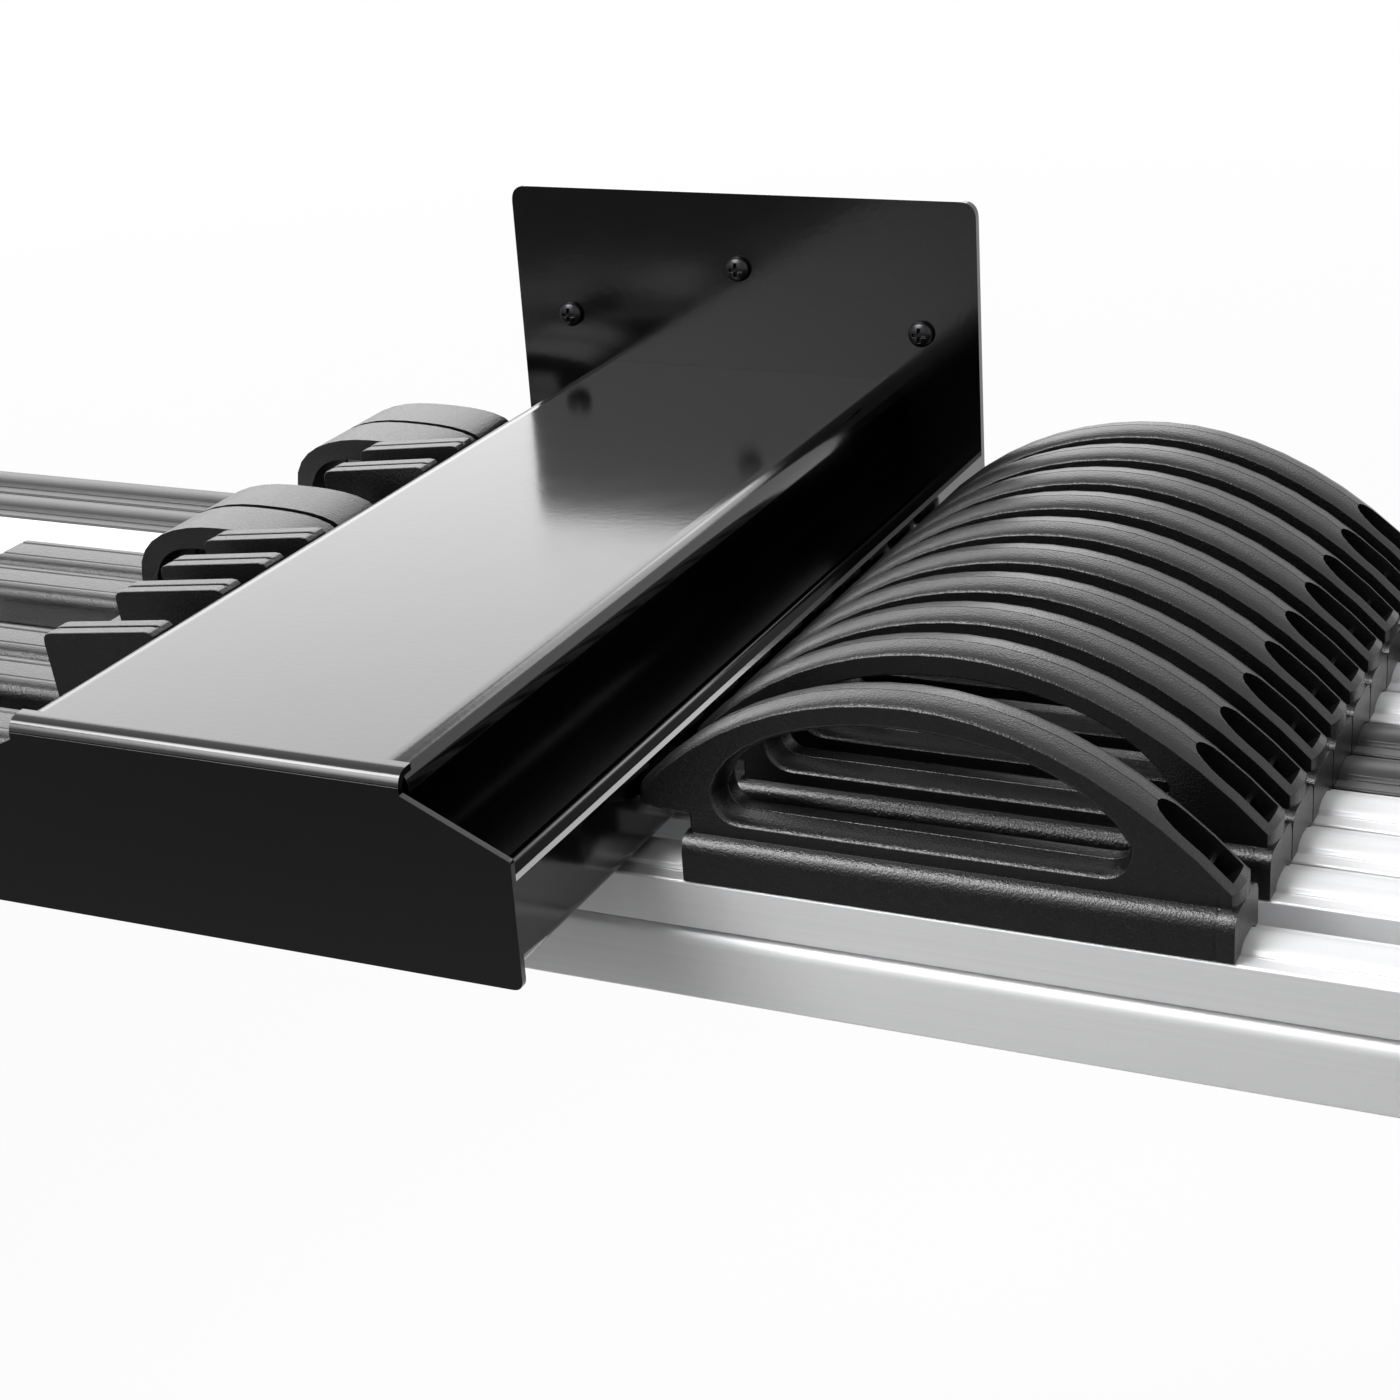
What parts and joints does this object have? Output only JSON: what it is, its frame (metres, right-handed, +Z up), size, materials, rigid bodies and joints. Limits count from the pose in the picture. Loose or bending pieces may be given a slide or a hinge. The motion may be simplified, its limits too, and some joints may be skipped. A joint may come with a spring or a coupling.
{
  "type": "plan hanging rack",
  "caption": "Wall arm of folded black sheet with a front flap and a wall plate, carrying hooked plan binders with clamping bars and arched hand grips.",
  "frame": {"origin": "on the wall face of the wall plate, midway across it and level with the top of the arm", "axes": "+X along the binders towards the grips, +Y into the wall, +Z up"},
  "size_m": [0.65, 0.35, 0.1528],
  "materials": {
    "gloss_black": "gloss black powder coat with a slight orange peel",
    "screw_black": "black oxide",
    "satin_plastic": "satin black moulding with a fine grain",
    "silver_bar": "satin silver anodised",
    "black_bar": "satin black anodised",
    "steel_pin": "bright steel"
  },
  "bodies": {
    "rack": {"wall_plate": "gloss_black", "arm": "gloss_black", "wall_screw_left": "screw_black", "wall_screw_right": "screw_black", "wall_screw_top": "screw_black"},
    "binder_01": {"rail_01": "silver_bar", "jaw_pin_01": "steel_pin", "grip_01": "satin_plastic", "hook_01": "satin_plastic"},
    "clamp_01": {"jaw_01": "silver_bar"},
    "binder_02": {"rail_02": "silver_bar", "jaw_pin_02": "steel_pin", "grip_02": "satin_plastic", "hook_02": "satin_plastic"},
    "clamp_02": {"jaw_02": "silver_bar"},
    "binder_03": {"rail_03": "silver_bar", "jaw_pin_03": "steel_pin", "grip_03": "satin_plastic", "hook_03": "satin_plastic"},
    "clamp_03": {"jaw_03": "silver_bar"},
    "binder_04": {"rail_04": "silver_bar", "jaw_pin_04": "steel_pin", "grip_04": "satin_plastic", "hook_04": "satin_plastic"},
    "clamp_04": {"jaw_04": "silver_bar"},
    "binder_05": {"rail_05": "black_bar", "jaw_pin_05": "steel_pin", "grip_05": "satin_plastic", "hook_05": "satin_plastic"},
    "clamp_05": {"jaw_05": "black_bar"},
    "binder_06": {"rail_06": "black_bar", "jaw_pin_06": "steel_pin", "grip_06": "satin_plastic", "hook_06": "satin_plastic"},
    "clamp_06": {"jaw_06": "black_bar"},
    "binder_07": {"rail_07": "silver_bar", "jaw_pin_07": "steel_pin", "grip_07": "satin_plastic", "hook_07": "satin_plastic"},
    "clamp_07": {"jaw_07": "silver_bar"},
    "binder_08": {"rail_08": "silver_bar", "jaw_pin_08": "steel_pin", "grip_08": "satin_plastic", "hook_08": "satin_plastic"},
    "clamp_08": {"jaw_08": "silver_bar"},
    "binder_09": {"rail_09": "black_bar", "jaw_pin_09": "steel_pin", "grip_09": "satin_plastic", "hook_09": "satin_plastic"},
    "clamp_09": {"jaw_09": "black_bar"},
    "binder_10": {"rail_10": "black_bar", "jaw_pin_10": "steel_pin", "grip_10": "satin_plastic", "hook_10": "satin_plastic"},
    "clamp_10": {"jaw_10": "black_bar"}
  },
  "joints": [
    {"name": "binder_01_slide", "type": "slide", "parent": "rack", "child": "binder_01", "axis": [0, -1, 0], "range_m": [0, 0.056]},
    {"name": "jaw_01_hinge", "type": "hinge", "parent": "binder_01", "child": "clamp_01", "pos_m": [0, -0.28005, -0.0674], "axis": [-1, 0, 0], "range_deg": [0, 10]},
    {"name": "binder_02_slide", "type": "slide", "parent": "rack", "child": "binder_02", "axis": [0, -1, 0], "range_m": [0, 0.04978]},
    {"name": "jaw_02_hinge", "type": "hinge", "parent": "binder_02", "child": "clamp_02", "pos_m": [0, -0.24455, -0.0674], "axis": [-1, 0, 0], "range_deg": [0, 3]},
    {"name": "binder_03_slide", "type": "slide", "parent": "rack", "child": "binder_03", "axis": [0, -1, 0], "range_m": [0, 0.04356]},
    {"name": "jaw_03_hinge", "type": "hinge", "parent": "binder_03", "child": "clamp_03", "pos_m": [0, -0.22055, -0.0674], "axis": [-1, 0, 0], "range_deg": [0, 3]},
    {"name": "binder_04_slide", "type": "slide", "parent": "rack", "child": "binder_04", "axis": [0, -1, 0], "range_m": [0, 0.03733]},
    {"name": "jaw_04_hinge", "type": "hinge", "parent": "binder_04", "child": "clamp_04", "pos_m": [0, -0.19655, -0.0674], "axis": [-1, 0, 0], "range_deg": [0, 3]},
    {"name": "binder_05_slide", "type": "slide", "parent": "rack", "child": "binder_05", "axis": [0, -1, 0], "range_m": [0, 0.03111]},
    {"name": "jaw_05_hinge", "type": "hinge", "parent": "binder_05", "child": "clamp_05", "pos_m": [0, -0.17255, -0.0674], "axis": [-1, 0, 0], "range_deg": [0, 3]},
    {"name": "binder_06_slide", "type": "slide", "parent": "rack", "child": "binder_06", "axis": [0, -1, 0], "range_m": [0, 0.02489]},
    {"name": "jaw_06_hinge", "type": "hinge", "parent": "binder_06", "child": "clamp_06", "pos_m": [0, -0.14855, -0.0674], "axis": [-1, 0, 0], "range_deg": [0, 3]},
    {"name": "binder_07_slide", "type": "slide", "parent": "rack", "child": "binder_07", "axis": [0, -1, 0], "range_m": [0, 0.01867]},
    {"name": "jaw_07_hinge", "type": "hinge", "parent": "binder_07", "child": "clamp_07", "pos_m": [0, -0.12455, -0.0674], "axis": [-1, 0, 0], "range_deg": [0, 3]},
    {"name": "binder_08_slide", "type": "slide", "parent": "rack", "child": "binder_08", "axis": [0, -1, 0], "range_m": [0, 0.01244]},
    {"name": "jaw_08_hinge", "type": "hinge", "parent": "binder_08", "child": "clamp_08", "pos_m": [0, -0.10055, -0.0674], "axis": [-1, 0, 0], "range_deg": [0, 3]},
    {"name": "binder_09_slide", "type": "slide", "parent": "rack", "child": "binder_09", "axis": [0, -1, 0], "range_m": [0, 0.00622]},
    {"name": "jaw_09_hinge", "type": "hinge", "parent": "binder_09", "child": "clamp_09", "pos_m": [0, -0.07655, -0.0674], "axis": [-1, 0, 0], "range_deg": [0, 3]},
    {"name": "binder_10_slide", "type": "slide", "parent": "rack", "child": "binder_10", "axis": [0, 1, 0], "range_m": [0, 0.03]},
    {"name": "jaw_10_hinge", "type": "hinge", "parent": "binder_10", "child": "clamp_10", "pos_m": [0, -0.05255, -0.0674], "axis": [-1, 0, 0], "range_deg": [0, 3]}
  ],
  "couplings": [
    {"joint": "binder_02_slide", "follows": "binder_01_slide", "ratio": 0.88889},
    {"joint": "binder_03_slide", "follows": "binder_01_slide", "ratio": 0.77778},
    {"joint": "binder_04_slide", "follows": "binder_01_slide", "ratio": 0.66667},
    {"joint": "binder_05_slide", "follows": "binder_01_slide", "ratio": 0.55556},
    {"joint": "binder_06_slide", "follows": "binder_01_slide", "ratio": 0.44444},
    {"joint": "binder_07_slide", "follows": "binder_01_slide", "ratio": 0.33333},
    {"joint": "binder_08_slide", "follows": "binder_01_slide", "ratio": 0.22222},
    {"joint": "binder_09_slide", "follows": "binder_01_slide", "ratio": 0.11111}
  ]
}
